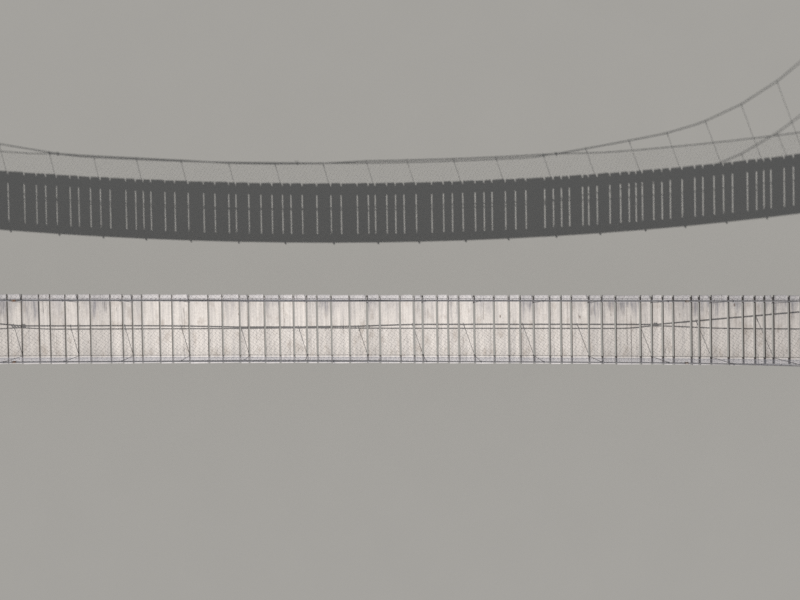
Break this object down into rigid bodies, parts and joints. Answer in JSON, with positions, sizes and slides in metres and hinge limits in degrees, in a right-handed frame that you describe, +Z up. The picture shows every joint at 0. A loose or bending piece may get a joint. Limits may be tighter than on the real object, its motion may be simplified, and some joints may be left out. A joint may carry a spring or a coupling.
{
  "type": "suspension footbridge",
  "caption": "Timber suspension footbridge with a sagging board deck, wire netting sides, wire rope cables, timber portal towers and concrete anchor blocks.",
  "frame": {"origin": "on the ground below midspan, on the bridge's centre line", "axes": "+X along the bridge, towards its east end; +Y across it, to its north side; +Z up"},
  "size_m": [33.8, 2, 5.5506],
  "materials": {
    "deck_boards": "weathered bare boards, pale warm grey, with dark stains and cracks",
    "tower_timber": "weathered rough-sawn heavy timber, dull brown grey",
    "galvanised_wire": "dull weathered zinc on thin wire",
    "wire_rope": "dark oxidised stranded wire rope",
    "cast_steel": "dark cast steel with a light bloom of rust",
    "concrete": "weathered cast concrete"
  },
  "bodies": {
    "root": {"deck_section_1": "deck_boards", "deck_section_2": "deck_boards", "deck_section_3": "deck_boards", "deck_section_4": "deck_boards", "deck_section_5": "deck_boards", "deck_section_6": "deck_boards", "deck_section_7": "deck_boards", "deck_section_8": "deck_boards", "netting_north_1": "galvanised_wire", "netting_north_2": "galvanised_wire", "netting_north_3": "galvanised_wire", "netting_south_1": "galvanised_wire", "netting_south_2": "galvanised_wire", "netting_south_3": "galvanised_wire", "main_cable_north": "wire_rope", "main_cable_south": "wire_rope", "deck_cable_north": "wire_rope", "deck_cable_south": "wire_rope", "west_north_footing": "concrete", "west_north_post": "tower_timber", "west_north_knee_brace": "tower_timber", "west_south_footing": "concrete", "west_south_post": "tower_timber", "west_south_knee_brace": "tower_timber", "west_cap_beam": "tower_timber", "west_transom": "tower_timber", "west_cross_brace": "tower_timber", "west_north_saddle": "cast_steel", "west_south_saddle": "cast_steel", "west_anchor_block": "concrete", "west_north_anchor_plate": "cast_steel", "west_south_anchor_plate": "cast_steel", "east_north_footing": "concrete", "east_north_post": "tower_timber", "east_north_knee_brace": "tower_timber", "east_south_footing": "concrete", "east_south_post": "tower_timber", "east_south_knee_brace": "tower_timber", "east_cap_beam": "tower_timber", "east_transom": "tower_timber", "east_cross_brace": "tower_timber", "east_north_saddle": "cast_steel", "east_south_saddle": "cast_steel", "east_anchor_block": "concrete", "east_north_anchor_plate": "cast_steel", "east_south_anchor_plate": "cast_steel"}
  },
  "joints": []
}
